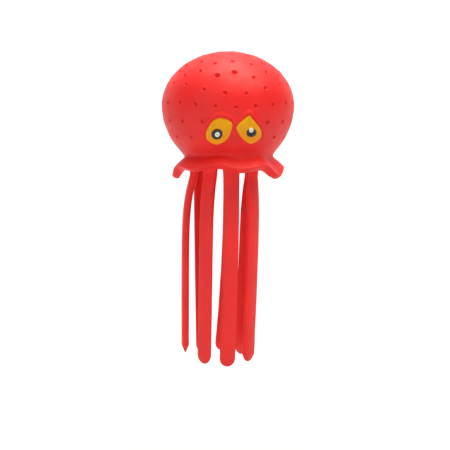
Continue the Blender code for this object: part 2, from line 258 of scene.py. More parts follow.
class ToySettings(bpy.types.PropertyGroup):
    """Every setting of the toy."""
    head: PointerProperty(type=HeadSettings)
    pits: PointerProperty(type=PitSettings)
    skirt: PointerProperty(type=SkirtSettings)
    eyes: PointerProperty(type=EyeSettings)
    arms: PointerProperty(type=ArmSettings)
    filling: PointerProperty(type=FillingSettings)
    colours: PointerProperty(type=ColourSettings)
    stage: PointerProperty(type=StageSettings)


# ---- shapes

def mix(low, high, amount):
    return low + (high - low) * amount


def smooth(amount):
    """An S-shaped step from 0 to 1."""
    amount = min(1.0, max(0.0, amount))
    return amount * amount * (3.0 - 2.0 * amount)


def hump(distance, width):
    """1 at no distance, falling away over the width."""
    return math.exp(-(distance / width) ** 2)


def around(azimuth, out, z, side=0.0):
    """The point at radius out and height z at an azimuth, moved sideways by side."""
    return Vector((out * math.sin(azimuth) + side * math.cos(azimuth),
                   -out * math.cos(azimuth) + side * math.sin(azimuth), z))


class Egg:
    """The head's outer surface: a superellipse turned round the vertical axis."""
    UPPER_EXPONENT = 2.0
    LOWER_EXPONENT = 1.88

    def __init__(self, head, inset=0.0):
        self.radius = head.radius - inset
        self.up = head.equator_drop - inset
        self.down = head.lower_semi_axis - inset
        self.centre = Vector((0.0, 0.0, HEAD_HIGH.z - head.equator_drop))

    def half(self, rise):
        """Semi-axis and exponent of the half that lies on this side of the equator."""
        return (self.up, self.UPPER_EXPONENT) if rise > 0.0 else (self.down, self.LOWER_EXPONENT)

    def towards(self, direction):
        """Where a ray from the centre leaves the egg."""
        semi, power = self.half(direction.z)
        flat = math.hypot(direction.x, direction.y) / self.radius
        reach = (flat ** power + abs(direction.z / semi) ** power) ** (-1.0 / power)
        return self.centre + direction * reach

    def at_polar(self, azimuth, polar):
        return self.towards(around(azimuth, math.sin(polar), math.cos(polar)))

    def radius_at(self, z):
        rise = z - self.centre.z
        semi, power = self.half(rise)
        return self.radius * max(0.0, 1.0 - abs(rise / semi) ** power) ** (1.0 / power)

    def normal(self, point):
        rise = point.z - self.centre.z
        semi, power = self.half(rise)
        flat = math.hypot(point.x, point.y)
        level = (flat / self.radius) ** (power - 1.0) / self.radius
        steep = math.copysign(abs(rise / semi) ** (power - 1.0) / semi, rise)
        if flat < 1e-9:
            return Vector((0.0, 0.0, math.copysign(1.0, rise)))
        return Vector((point.x / flat * level, point.y / flat * level, steep)).normalized()

    def on_face(self, x, z, height=0.0):
        """The point of the face at x and z, raised by height."""
        radius = self.radius_at(z)
        point = Vector((x, -math.sqrt(radius * radius - x * x), z))
        return point + self.normal(point) * height


def through(points, steps):
    """A closed smooth curve through the points, with this many steps between two of them."""
    count = len(points)
    curve = []
    for k in range(count):
        before, here, after, beyond = (Vector(points[(k + n) % count]) for n in (-1, 0, 1, 2))
        for step in range(steps):
            t = step / steps
            curve.append(0.5 * (2 * here + (after - before) * t
                                + (2 * before - 5 * here + 4 * after - beyond) * t ** 2
                                + (3 * here - before - 3 * after + beyond) * t ** 3))
    return curve


def edge_distance(outline, spot):
    """How far a flat point lies outside a closed outline; negative inside."""
    nearest = 1e9
    inside = False
    for here, after in zip(outline, outline[1:] + outline[:1]):
        along = after - here
        t = min(1.0, max(0.0, (spot - here).dot(along) / along.length_squared))
        nearest = min(nearest, (spot - here - along * t).length)
        if (here.y > spot.y) != (after.y > spot.y):
            crossing = here.x + along.x * (spot.y - here.y) / along.y
            if spot.x < crossing:
                inside = not inside
    return -nearest if inside else nearest


def ellipse(x, z, half_width, half_height, count):
    """A flat outline with its middle at x and z, all in millimetres."""
    turns = [math.tau * k / count for k in range(count)]
    return [Vector((x + half_width * math.cos(t), z + half_height * math.sin(t))) * MM
            for t in turns]


def middle_of(outline):
    return sum(outline, Vector((0.0, 0.0))) / len(outline)


def circle(radius, z, count=96):
    """A level ring of points, or one point where the radius is nothing."""
    if radius == 0.0:
        return [Vector((0.0, 0.0, z))]
    return [around(math.tau * k / count, radius, z) for k in range(count)]


def rounded(corners, radius, steps=5):
    """A closed (radius, height) outline with its corners rounded off; corners on the axis stay."""
    outline = []
    count = len(corners)
    for k, corner in enumerate(corners):
        if corner[0] == 0.0:
            outline.append(Vector(corner))
            continue
        here = Vector(corner)
        before = Vector(corners[k - 1]) - here
        after = Vector(corners[(k + 1) % count]) - here
        cut = min(radius, before.length / 2, after.length / 2)
        first, last = here + before.normalized() * cut, here + after.normalized() * cut
        for step in range(steps + 1):
            t = step / steps
            outline.append(first.lerp(here, t).lerp(here.lerp(last, t), t))
    return outline


# ---- meshes

def bridge(mesh, low, high):
    """Faces between two rings; either may be a single point."""
    count = max(len(low), len(high))
    for k in range(count):
        n = (k + 1) % count
        if len(low) == 1:
            mesh.faces.new((low[0], high[n], high[k]))
        elif len(high) == 1:
            mesh.faces.new((low[k], low[n], high[0]))
        else:
            mesh.faces.new((low[k], low[n], high[n], high[k]))


def loft(mesh, rings, closed=False):
    """Skin the rings in turn, close the ends or join last to first, and return the loops."""
    loops = [[mesh.verts.new(point) for point in ring] for ring in rings]
    for low, high in zip(loops, loops[1:]):
        bridge(mesh, low, high)
    if closed:
        bridge(mesh, loops[-1], loops[0])
    else:
        for end in (loops[0], loops[-1]):
            if len(end) > 1:
                mesh.faces.new(end)
    return loops


def link(name, data):
    """A new object with this data, in the scene."""
    made = bpy.data.objects.new(name, data)
    bpy.context.scene.collection.objects.link(made)
    return made


def make_object(name, mesh, finish, sharp=40.0):
    """Turn a bmesh into an object at the origin, shaded smooth below the sharp angle."""
    bmesh.ops.recalc_face_normals(mesh, faces=mesh.faces)
    data = bpy.data.meshes.new(name)
    mesh.to_mesh(data)
    mesh.free()
    data.shade_smooth()
    data.set_sharp_from_angle(angle=math.radians(sharp))
    data.materials.append(finish)
    return link(name, data)


def apply_tree(piece, tree, **values):
    """Run a geometry tree on a piece and keep the result as its plain mesh."""
    modifier = piece.modifiers.new(tree.name, "NODES")
    modifier.node_group = tree
    for item in tree.interface.items_tree:
        key = item.name.lower().replace(" ", "_")
        if item.item_type == "SOCKET" and item.in_out == "INPUT" and key in values:
            modifier[item.identifier] = values[key]
    bpy.context.view_layer.update()
    evaluated = piece.evaluated_get(bpy.context.evaluated_depsgraph_get())
    plain = bpy.data.meshes.new_from_object(evaluated)
    piece.modifiers.clear()
    piece.data = plain
    plain.name = piece.name


# ---- node building

def feed(tree, socket, value):
    if isinstance(value, bpy.types.NodeSocket):
        tree.links.new(value, socket)
    else:
        socket.default_value = value


def add(tree, kind, *values, out=0, **named):
    """Add a node, set its options and inputs, and return one output.

    Values go to the inputs in order, None leaving one alone. A name that is one of the node's
    own options sets that option; any other name is an input's, with _ for a space.
    """
    made = tree.nodes.new(kind)
    for name in [n for n in named if hasattr(made, n)]:
        setattr(made, name, named.pop(name))
    for socket, value in zip(made.inputs, values):
        if value is not None:
            feed(tree, socket, value)
    for name, value in named.items():
        feed(tree, made.inputs[name.replace("_", " ").title()], value)
    return made.outputs[out]


def product(tree, one, other):
    return add(tree, "ShaderNodeMath", one, other, operation="MULTIPLY")


def ramp(tree, value, low, high, start=0.0, end=1.0):
    """Map low..high on to start..end with soft ends."""
    return add(tree, "ShaderNodeMapRange", value, low, high, start, end,
               interpolation_type="SMOOTHSTEP")


def geometry_tree(name, sockets):
    """A new geometry tree with a geometry input and output and these named inputs."""
    tree = bpy.data.node_groups.new(name, "GeometryNodeTree")
    tree.interface.new_socket("Geometry", in_out="INPUT", socket_type="NodeSocketGeometry")
    for label, kind in sockets:
        tree.interface.new_socket(label, in_out="INPUT", socket_type=f"NodeSocket{kind}")
    tree.interface.new_socket("Geometry", in_out="OUTPUT", socket_type="NodeSocketGeometry")
    inputs = tree.nodes.new("NodeGroupInput").outputs
    return tree, inputs


def end_tree(tree, geometry, finish):
    real = add(tree, "GeometryNodeRealizeInstances", geometry)
    painted = add(tree, "GeometryNodeSetMaterial", real, Material=finish)
    tree.links.new(painted, tree.nodes.new("NodeGroupOutput").inputs[0])


def pits_tree():
    """Presses a pit into the surface round each point of another object.

    A pit is a rounded cone with a slightly raised lip. Its share of full depth is kept in the
    attribute "pit", from which the finish paints shade into the pit.
    """
    tree, inputs = geometry_tree("Pits", (("Centres", "Object"), ("Depth", "Float"),
                                          ("Lip", "Float"), ("Finish", "Material")))
    centres = add(tree, "GeometryNodeObjectInfo", inputs["Centres"], out="Geometry")
    position = add(tree, "GeometryNodeInputPosition")
    nearest = add(tree, "GeometryNodeSampleNearest", centres, position)
    size = add(tree, "GeometryNodeInputNamedAttribute", "size", data_type="FLOAT")
    place = add(tree, "GeometryNodeSampleIndex", centres, position, nearest,
                data_type="FLOAT_VECTOR")
    radius = add(tree, "GeometryNodeSampleIndex", centres, size, nearest, data_type="FLOAT")
    distance = add(tree, "ShaderNodeVectorMath", position, place, operation="DISTANCE",
                   out="Value")
    reach = add(tree, "ShaderNodeMath", distance, radius, operation="DIVIDE")
    hollow = ramp(tree, reach, 0.0, 1.0, 1.0, 0.0)
    lip = product(tree, ramp(tree, reach, 0.6, 1.15), ramp(tree, reach, 1.15, 1.8, 1.0, 0.0))
    rise = add(tree, "ShaderNodeMath", product(tree, lip, inputs["Lip"]),
               product(tree, hollow, inputs["Depth"]), operation="SUBTRACT")
    offset = add(tree, "ShaderNodeVectorMath", add(tree, "GeometryNodeInputNormal"),
                 operation="SCALE", Scale=product(tree, rise, radius))
    pressed = add(tree, "GeometryNodeSetPosition", inputs["Geometry"], Offset=offset)
    marked = add(tree, "GeometryNodeStoreNamedAttribute", pressed, None, "pit", hollow,
                 data_type="FLOAT", domain="POINT")
    end_tree(tree, marked, inputs["Finish"])
    return tree


def fibres_tree():
    """Scatters short curved fibres over the surface, lying on it at random."""
    tree, inputs = geometry_tree("Fibres", (("Count", "Int"), ("Length", "Float"),
                                            ("Radius", "Float"), ("Seed", "Int"),
                                            ("Finish", "Material")))
    half = product(tree, inputs["Length"], 0.5)
    ends = [add(tree, "ShaderNodeCombineXYZ", product(tree, half, side), 0.0,
                product(tree, half, -0.25)) for side in (-1.0, 1.0)]
    middle = add(tree, "ShaderNodeCombineXYZ", 0.0, product(tree, half, 0.6),
                 product(tree, half, 0.3))
    line = add(tree, "GeometryNodeCurveQuadraticBezier", 6, ends[0], middle, ends[1])
    profile = add(tree, "GeometryNodeCurvePrimitiveCircle", 3, Radius=inputs["Radius"])
    fibre = add(tree, "GeometryNodeCurveToMesh", line, profile, Fill_Caps=True)
    area = add(tree, "GeometryNodeAttributeStatistic", inputs["Geometry"], None,
               add(tree, "GeometryNodeInputMeshFaceArea"), domain="FACE", out="Sum")
    density = add(tree, "ShaderNodeMath", inputs["Count"], area, operation="DIVIDE")
    points = add(tree, "GeometryNodeDistributePointsOnFaces", inputs["Geometry"],
                 Density=density, Seed=inputs["Seed"])
    spin = add(tree, "FunctionNodeRandomValue", data_type="FLOAT", Seed=inputs["Seed"], out=1)
    spun = add(tree, "ShaderNodeCombineXYZ", 0.0, 0.0, product(tree, spin, math.tau))
    turn = add(tree, "FunctionNodeRotateRotation", points.node.outputs["Rotation"], spun,
               rotation_space="LOCAL")
    laid = add(tree, "GeometryNodeInstanceOnPoints", points, Instance=fibre, Rotation=turn)
    both = add(tree, "GeometryNodeJoinGeometry", laid)
    tree.links.new(inputs["Geometry"], both.node.inputs[0])
    end_tree(tree, both, inputs["Finish"])
    return tree


# ---- finishes

def new_finish(name, **constants):
    """A Principled material with these constant values, its tree, shader and object position."""
    made = bpy.data.materials.new(name)
    made.use_nodes = True
    tree = made.node_tree
    shader = tree.nodes["Principled BSDF"]
    for key, value in constants.items():
        shader.inputs[key.replace("_", " ")].default_value = value
    return made, tree, shader, add(tree, "ShaderNodeTexCoord", out="Object")


def grain(tree, position, scale, detail=3.0, rough=0.55):
    """Noise of this many features to the metre."""
    return add(tree, "ShaderNodeTexNoise", position, Scale=scale, Detail=detail, Roughness=rough)


def kept_value(tree, name):
    """The value of one of the mesh's named attributes."""
    return add(tree, "ShaderNodeAttribute", attribute_name=name, out="Fac")


def tint(tree, amount, low, high):
    """A colour between two, by amount."""
    made = tree.nodes.new("ShaderNodeMix")
    made.data_type = "RGBA"
    feed(tree, made.inputs[0], amount)
    feed(tree, made.inputs[6], (*low, 1.0) if isinstance(low, tuple) else low)
    feed(tree, made.inputs[7], (*high, 1.0) if isinstance(high, tuple) else high)
    return made.outputs[2]


def scaled(base, amount):
    return tuple(min(1.0, c * amount) for c in base)


def dress(tree, shader, paint, roughness, *layers):
    """Set the shader's colour, roughness and bump layers of (height, distance, strength)."""
    feed(tree, shader.inputs["Base Color"], paint)
    feed(tree, shader.inputs["Roughness"], roughness)
    normal = None
    for height, distance, strength in layers:
        made = tree.nodes.new("ShaderNodeBump")
        feed(tree, made.inputs["Strength"], strength)
        feed(tree, made.inputs["Distance"], distance)
        feed(tree, made.inputs["Height"], height)
        if normal is not None:
            feed(tree, made.inputs["Normal"], normal)
        normal = made.outputs[0]
    feed(tree, shader.inputs["Normal"], normal)


def rubber_finish(name, base, shade_pits):
    """Soft satin rubber: slightly mottled red, a fine matt grain, a few moulding ripples and
    painted shade in pits.
    """
    made, tree, shader, position = new_finish(
        name, IOR=1.5, Specular_IOR_Level=0.4, Subsurface_Weight=0.05,
        Subsurface_Scale=0.002, Subsurface_Radius=(1.0, 0.25, 0.18))
    cloud = ramp(tree, grain(tree, position, 45.0), 0.3, 0.7)
    mottled = tint(tree, cloud, scaled(base, 0.94), scaled(base, 1.05))
    speckle = ramp(tree, grain(tree, position, 1500.0, detail=2.0), 0.62, 0.8)
    red = tint(tree, product(tree, speckle, 0.12), mottled, scaled(base, 1.2))
    if shade_pits:
        # Painted shade: each pit is darkened towards its middle, standing in for the shade in the
        # hollow.
        hollow = ramp(tree, kept_value(tree, "pit"), 0.06, 0.55)
        red = tint(tree, product(tree, hollow, 0.9), red, scaled(base, 0.4))
    dress(tree, shader, red, ramp(tree, grain(tree, position, 160.0), 0.3, 0.7, 0.45, 0.56),
          (grain(tree, position, 90.0, detail=1.0), 0.0004, 0.12),
          (grain(tree, position, 2200.0, detail=2.0), 0.00006, 0.35))
    return made


def yellow_finish(base):
    """Hand-brushed ochre paint, more orange lower down and paler along its edge."""
    made, tree, shader, position = new_finish("eye_paint_yellow", IOR=1.5,
                                              Specular_IOR_Level=0.12)
    stretched = add(tree, "ShaderNodeMapping", position, Rotation=(0.0, math.radians(40.0), 0.0),
                    Scale=(1.0, 1.0, 0.3))
    strokes = grain(tree, stretched, 420.0)
    patches = grain(tree, position, 110.0)
    paint = tint(tree, ramp(tree, strokes, 0.35, 0.65), scaled(base, 0.9), scaled(base, 1.06))
    paint = tint(tree, product(tree, ramp(tree, patches, 0.4, 0.65), 0.5), paint,
                 (base[0] * 1.03, base[1] * 0.84, base[2] * 3.0))
    height = add(tree, "ShaderNodeSeparateXYZ", position, out=2)
    paint = tint(tree, product(tree, ramp(tree, height, -0.036, -0.046), 0.75), paint,
                 (base[0] * 1.03, base[1] * 0.72, base[2] * 4.0))
    edge = kept_value(tree, "edge")
    paint = tint(tree, product(tree, ramp(tree, edge, 0.72, 0.95), 0.5), paint,
                 (min(1.0, base[0] * 1.12), base[1] * 1.2, base[2]))
    dress(tree, shader, paint, ramp(tree, patches, 0.3, 0.7, 0.34, 0.48), (strokes, 0.00012, 0.3))
    return made


def black_finish(base):
    """Satin black paint with a painted reflection: a greyer ring standing in for the soft light
    the pupil reflects.
    """
    made, tree, shader, position = new_finish("pupil_paint_black", IOR=1.5,
                                              Specular_IOR_Level=0.3)
    edge = kept_value(tree, "edge")
    # Painted reflection: an uneven greyer ring part way out from the middle stands in for light
    # reflected off the glossy paint.
    ring = product(tree, ramp(tree, edge, 0.58, 0.70), ramp(tree, edge, 0.72, 0.84, 1.0, 0.0))
    painted_reflection = product(tree, ring, ramp(tree, grain(tree, position, 600.0), 0.3, 0.6, 0.4, 1.0))
    paint = tint(tree, product(tree, painted_reflection, 0.9), base, (0.11, 0.085, 0.085))
    dress(tree, shader, paint, ramp(tree, grain(tree, position, 500.0), 0.3, 0.7, 0.3, 0.42),
          (grain(tree, position, 900.0), 0.00005, 0.25))
    return made


def white_finish(base):
    """White paint with a grey speck at the middle of the dot."""
    made, tree, shader, position = new_finish("glint_paint_white", IOR=1.5)
    edge = kept_value(tree, "edge")
    speck = ramp(tree, edge, 0.18, 0.42, 1.0, 0.0)
    paint = tint(tree, product(tree, speck, 0.75), base, (0.30, 0.27, 0.25))
    streaks = ramp(tree, grain(tree, position, 900.0), 0.35, 0.65)
    paint = tint(tree, product(tree, streaks, 0.12), paint, (0.62, 0.56, 0.52))
    dress(tree, shader, paint, ramp(tree, streaks, 0.0, 1.0, 0.35, 0.5), (streaks, 0.00005, 0.2))
    return made


def fibre_finish(base):
    """Off-white polyester fibre: matt and streaky."""
    made, tree, shader, position = new_finish("fibre_white", Sheen_Weight=0.6,
                                              Sheen_Roughness=0.5)
    tangle = grain(tree, position, 700.0, detail=5.0, rough=0.7)
    dress(tree, shader,
          tint(tree, ramp(tree, tangle, 0.3, 0.7), scaled(base, 0.82), scaled(base, 1.05)),
          ramp(tree, tangle, 0.3, 0.7, 0.85, 0.98), (tangle, 0.0006, 0.7))
    return made


@functools.cache
def finish_of(name):
    """One of the toy's finishes, made when it is first asked for."""
    base = tuple(getattr(bpy.context.scene.octopus_toy.colours, name))
    if name in ("skin", "arm"):
        return rubber_finish(f"rubber_{name}", base, shade_pits=name == "skin")
    return {"yellow": yellow_finish, "black": black_finish, "white": white_finish,
            "fibre": fibre_finish}[name](base)


# ---- head and skirt

def eye_outline(side):
    return through([Vector(point) * MM for point in EYE_OUTLINES[side]], 8)


def pit_centres(toy, egg):
    """Every pit as (place, radius): rings with a little scatter, and none under the eyes."""
    pits = toy.pits
    outlines = [eye_outline(side) for side in EYE_OUTLINES]
    large = [egg.at_polar(math.radians(a), math.radians(p)) for a, p in LARGE_PITS]
    centres = [(place, pits.large_radius) for place in large]
    for ring, (count, first, polar, dip, zigzag) in enumerate(PIT_RINGS):
        for k in range(count):
            azimuth = math.radians(first) + math.tau * k / count
            towards_face = max(0.0, math.cos(azimuth)) ** 4
            tilt = math.radians(polar + dip * towards_face + zigzag * (k % 2))
            stray = noise.random_vector() * pits.scatter
            place = egg.at_polar(azimuth, tilt) + stray
            place = egg.towards((place - egg.centre).normalized())
            if any((place - other).length < LARGE_PIT_ROOM for other in large):
                continue
            under_eye = place.y < 0.0 and any(
                edge_distance(outline, place.xz) < EYE_MARGIN for outline in outlines)
            if not under_eye:
                centres.append((place, pits.radius * (1.0 + 0.12 * noise.random_vector().x)))
    return centres


def bend(start, middle, end, t):
    """A point of the parabola from start to end that is drawn towards middle."""
    return start.lerp(middle, t).lerp(middle.lerp(end, t), t)


def skirt_profile(toy, egg, azimuth):
    """The flange's section at an azimuth: upper side, rim and underside, as (radius, height)."""
    skirt = toy.skirt
    lobe = 0.5 + 0.5 * math.cos(skirt.waves * (azimuth - skirt.phase))
    wave = (azimuth - skirt.phase) / math.tau * skirt.waves
    before = math.floor(wave)
    droop = mix(LOBE_DROOPS[before % skirt.waves], LOBE_DROOPS[(before + 1) % skirt.waves],
                smooth(wave - before))
    crease, rim, upper_bend, lower_bend = (Vector(trough).lerp(Vector(full), lobe) * MM
                                           for trough, full in zip(TROUGH_POINTS, LOBE_POINTS))
    dip = mix(skirt.trough_dip, skirt.lobe_dip + skirt.droop_dip * droop, lobe)
    droop = Vector((0.0, -mix(skirt.trough_droop, 1.0, lobe) * droop * MM))
    crease += droop * 0.35
    crease.x = egg.radius_at(crease.y)
    rim += droop
    along = Vector((math.cos(dip), -math.sin(dip))) * skirt.rim_reach
    out = Vector((math.sin(dip), math.cos(dip))) * skirt.thickness / 2
    inner = Vector((INSIDE_RADIUS, FLOOR_UNDERSIDE))
    upper = [bend(crease, upper_bend + droop * 0.7, rim + out, k / 13) for k in range(1, 13)]
    edge = []
    rounding = mix(TROUGH_ROUNDING, LOBE_ROUNDING, lobe)
    for k in range(15):
        across, reach = math.cos(math.pi * k / 14), math.sin(math.pi * k / 14)
        across = math.copysign(abs(across) ** rounding, across)
        under = 1.0 - mix(skirt.undercut, 0.1, lobe) * (1.0 - across) / 2
        edge.append(rim + out * across + along * reach ** rounding * under)
    lower = [bend(rim - out, lower_bend + droop / 2, inner, k / 9) for k in range(1, 10)]
    return crease, upper, edge, lower


def soften(columns, middle, reach, passes):
    """Smooth each column of points near one of its places."""
    for column in columns:
        for _ in range(passes):
            before = [point.copy() for point in column]
            for k in range(middle - reach, middle + reach + 1):
                column[k] = before[k].lerp((before[k - 1] + before[k + 1]) / 2, 0.6)


def meridian(egg, low, steps):
    """The egg's section as (radius, height), from just below the crown to the point low."""
    last = math.pi / 2 + math.atan2(egg.centre.z - low.y, low.x)
    points = (egg.at_polar(0.0, last * n / steps) for n in range(1, steps + 1))
    return [Vector((-point.y, point.z)) for point in points]


def skin_rings(toy, egg):
    """Rings of the whole skin: crown to neck, over the skirt and back up the inside."""
    inner_egg = Egg(toy.head, toy.head.wall)
    neck = FLOOR_HIGH.z + 1 * MM
    inside = meridian(inner_egg, Vector((inner_egg.radius_at(neck), neck)), 24)[::-1]
    count = toy.skirt.waves * POINTS_PER_LOBE
    columns = []
    for k in range(count):
        crease, upper, edge, lower = skirt_profile(toy, egg, math.tau * k / count)
        bond = [Vector((INSIDE_RADIUS, z)) for z in (FLOOR_UNDERSIDE + 1.8 * MM, FLOOR_HIGH.z)]
        columns.append(meridian(egg, crease, HEAD_RINGS) + upper + edge + lower + bond + inside)
    soften(columns, HEAD_RINGS - 1, CREASE_REACH, toy.head.crease_softness)
    rings = [[around(math.tau * k / count, *column[level]) for k, column in enumerate(columns)]
             for level in range(len(columns[0]))]
    return [circle(0.0, HEAD_HIGH.z), *rings, circle(0.0, HEAD_HIGH.z - toy.head.wall)]


def refine(mesh, wanted, cuts):
    """Cut the edges whose both ends are wanted into finer ones."""
    edges = [e for e in mesh.edges if wanted(e.verts[0].co) and wanted(e.verts[1].co)]
    bmesh.ops.subdivide_edges(mesh, edges=edges, cuts=cuts, use_grid_fill=True)


def face_relief(toy, outlines, spot):
    """Height of the face at a flat point: a groove round each eye and a brow over it."""
    rise = 0.0
    for outline in outlines:
        distance = edge_distance(outline, spot)
        if distance > 5 * MM:
            continue
        upward = (spot - middle_of(outline)).normalized().y
        over_eye = 0.12 + 0.88 * smooth((upward + 0.1) / 0.9)
        rise += toy.head.brow_height * over_eye * hump(distance - 1.3 * MM, 1.1 * MM)
        rise -= toy.head.groove_depth * hump(distance, 0.45 * MM)
    return rise


def make_skin(toy):
    """The head and the skirt as one rubber skin, with brows, grooves and pits."""
    egg = Egg(toy.head)
    outlines = [eye_outline(side) for side in EYE_OUTLINES]
    mesh = bmesh.new()
    outer = mesh.verts.layers.float.new("outer")
    loops = loft(mesh, skin_rings(toy, egg))
    for loop in loops[1:HEAD_RINGS - CREASE_REACH - 1]:
        for vert in loop:
            vert[outer] = 1.0

    noise.seed_set(toy.pits.seed)
    centres = pit_centres(toy, egg)
    tree = kdtree.KDTree(len(centres))
    for k, (place, _) in enumerate(centres):
        tree.insert(place, k)
    tree.balance()

    def faces_front(point, half_width, top):
        return point.y < 0.0 and abs(point.x) < half_width and point.z < top

    def near_pit(point):
        _, k, distance = tree.find(point)
        return distance < 2.6 * centres[k][1]

    def near_eye(point):
        return faces_front(point, 19 * MM, -30 * MM) and point.z > -54 * MM and any(
            edge_distance(outline, point.xz) < 4 * MM for outline in outlines)

    refine(mesh, near_eye, 2)
    refine(mesh, near_pit, 3)
    for vert in mesh.verts:
        if vert[outer] < 0.99:
            continue
        vert.co = egg.towards((vert.co - egg.centre).normalized())
        if faces_front(vert.co, 20 * MM, -29 * MM):
            vert.co += egg.normal(vert.co) * face_relief(toy, outlines, vert.co.xz)

    skin = make_object("head_skin", mesh, finish_of("skin"), sharp=60.0)
    points = bpy.data.meshes.new("pit_centres")
    points.from_pydata([place for place, _ in centres], [], [])
    size = points.attributes.new("size", "FLOAT", "POINT")
    size.data.foreach_set("value", [radius for _, radius in centres])
    holder = link("pit_centres", points)
    apply_tree(skin, pits_tree(), centres=holder, depth=toy.pits.depth, lip=toy.pits.lip,
               finish=finish_of("skin"))
    bpy.data.objects.remove(holder)
    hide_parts("head_dome", "skirt")
    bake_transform(skin)


# ---- filling, floor and bung

def make_filling(toy):
    """The wad of fibre in the head: a lumpy ball with loose fibres on it."""
    low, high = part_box("head_filling")
    egg = Egg(toy.head, HEAD_HIGH.z - high.z + toy.filling.lump_height + 0.2 * MM)
    last = math.pi / 2 + math.atan2(egg.centre.z - low.z - 1 * MM,
                                    egg.radius_at(low.z + 1 * MM))
    levels = 40
    rings = [[egg.at_polar(0.0, 0.0)]]
    for level in range(1, levels + 1):
        polar = last * level / levels
        rings.append([egg.at_polar(math.tau * k / 90, polar) for k in range(90)])
    bottom = rings[-1][0]
    for shrink in (0.8, 0.5, 0.2):
        rings.append(circle(-bottom.y * shrink, bottom.z, 90))
    rings.append([Vector((0.0, 0.0, bottom.z))])
    for ring in rings:
        for point in ring:
            lump = noise.fractal(point * 140.0, 0.7, 2.0, 3) * toy.filling.lump_height
            point += egg.normal(point) * max(-toy.filling.lump_height,
                                             min(toy.filling.lump_height, lump))
    mesh = bmesh.new()
    loft(mesh, rings)
    wad = make_object("fibre_filling", mesh, finish_of("fibre"), sharp=180.0)
    apply_tree(wad, fibres_tree(), count=toy.filling.fibres, length=toy.filling.fibre_length,
               radius=toy.filling.fibre_radius, seed=toy.filling.seed,
               finish=finish_of("fibre"))
    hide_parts("head_filling")
    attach(wad, "head")
    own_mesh(wad)


def make_turned(name, corners, corner_radius, node, closed):
    """A rubber piece of the base, turned round the vertical axis from (radius, height) corners."""
    mesh = bmesh.new()
    loft(mesh, [circle(*corner) for corner in rounded(corners, corner_radius)], closed)
    piece = make_object(name, mesh, finish_of("arm"))
    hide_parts(node)
    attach(piece, "base")


def make_floor():
    """The plate that closes the head, with a bead where it is bonded to the skirt."""
    hole = BUNG_HIGH.x - 1.0 * MM
    top, under = FLOOR_HIGH.z, FLOOR_UNDERSIDE
    bead, lip = 0.35 * MM, 0.2 * MM
    corners = ((FLOOR_EDGE, top), (FLOOR_EDGE, under), (FLOOR_EDGE - 2 * bead, under - bead),
               (FLOOR_EDGE - 1.5 * MM, under), (hole + 1.6 * MM, under),
               (hole + 1.2 * MM, under - lip), (hole, under - lip), (hole, top))
    make_turned("mantle_floor_skin", corners, 0.35 * MM, "mantle_floor", closed=True)


def make_bung():
    """The stopper: a plug with a soft-edged flange and a dished middle."""
    stem, dish, dish_depth = 7.2 * MM, 4.8 * MM, 0.5 * MM
    flange_top = FLOOR_UNDERSIDE - 0.3 * MM
    corners = ((0.0, BUNG_HIGH.z), (stem, BUNG_HIGH.z), (stem, flange_top),
               (BUNG_HIGH.x, flange_top), (BUNG_HIGH.x, BUNG_LOW.z),
               (dish + 0.4 * MM, BUNG_LOW.z), (dish, BUNG_LOW.z + dish_depth),
               (0.0, BUNG_LOW.z + dish_depth))
    make_turned("bung_skin", corners, 0.4 * MM, "filling_bung", closed=False)


# ---- eyes

def make_patch(name, egg, outline, heights, sharpness, dent, finish):
    """A thin layer on the face inside the outline, with a soft edge.

    heights are its height at the outline and at the middle, and dent is the depth, the place
    and the width of a ring pressed into it. The share of the way from the middle (0) to the
    outline (1) is kept in the attribute "edge" for the finish.
    """
    centre = middle_of(outline)
    depth, place, width = dent
    sizes = [1.0 - (1.0 - k / 16) ** 1.6 for k in range(17)]
    stack = [(size, mix(*heights, math.sqrt(max(0.0, 1.0 - size ** sharpness)))
              - depth * hump(size - place, width)) for size in sizes]
    stack += [(size, PAINT_FOOT) for size in (1.0, 0.66, 0.33, 0.0)]
    mesh = bmesh.new()
    edge = mesh.verts.layers.float.new("edge")
    rings = []
    for size, height in stack:
        points = outline if size else outline[:1]
        spots = [centre + (point - centre) * size for point in points]
        rings.append([egg.on_face(spot.x, spot.y, height) for spot in spots])
    loops = loft(mesh, rings)
    for (size, _), loop in zip(stack, loops):
        for vert in loop:
            vert[edge] = size
    patch = make_object(name, mesh, finish, sharp=75.0)
    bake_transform(patch)
    return patch


def make_eyes(toy):
    """Yellow pads, pupils and glints, each a soft-edged layer of paint on the one below."""
    egg = Egg(toy.head)
    pad_top = toy.eyes.pad_height
    pupil_top = pad_top + toy.eyes.pupil_height
    glint_top = pupil_top + toy.eyes.glint_height
    rim = pad_top - 0.15 * MM
    for side in EYE_OUTLINES:
        layers = (
            ("eye", eye_outline(side), (-0.5 * MM, pad_top), 9, (0.0, 0.0, 1.0),
             "yellow", "eye_yellow"),
            ("pupil", ellipse(*PUPILS[side], 64), (rim, pupil_top), 6, (0.06 * MM, 0.72, 0.08),
             "black", "pupil_black"),
            ("glint", ellipse(*GLINTS[side], 48), (rim, glint_top), 4, (0.07 * MM, 0.0, 0.25),
             "white", "glint_white"),
        )
        for kind, outline, heights, sharpness, dent, paint, slot in layers:
            patch = make_patch(f"{kind}_{side}_paint", egg, outline, heights, sharpness, dent,
                               finish_of(paint))
            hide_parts(f"{kind}_{side}")


# ---- arms

def arm_line(toy, arm, z):
    """An arm's middle at height z as (side, out, z), and its share of the way to the tip."""
    _, root_radius, bulge, lean, sway, drop = ARMS[arm]
    root_z = HINGES[f"{arm}_root_bend"].z
    depth = max(0.0, root_z - z)
    part = depth / (root_z + drop * MM)
    bulged = 1.0 - math.exp(-((depth / toy.arms.bulge_depth) ** BULGE_EXPONENT))
    out = (root_radius + bulge * bulged + lean * part) * MM
    return Vector((sway * part * part * MM, out, z)), part


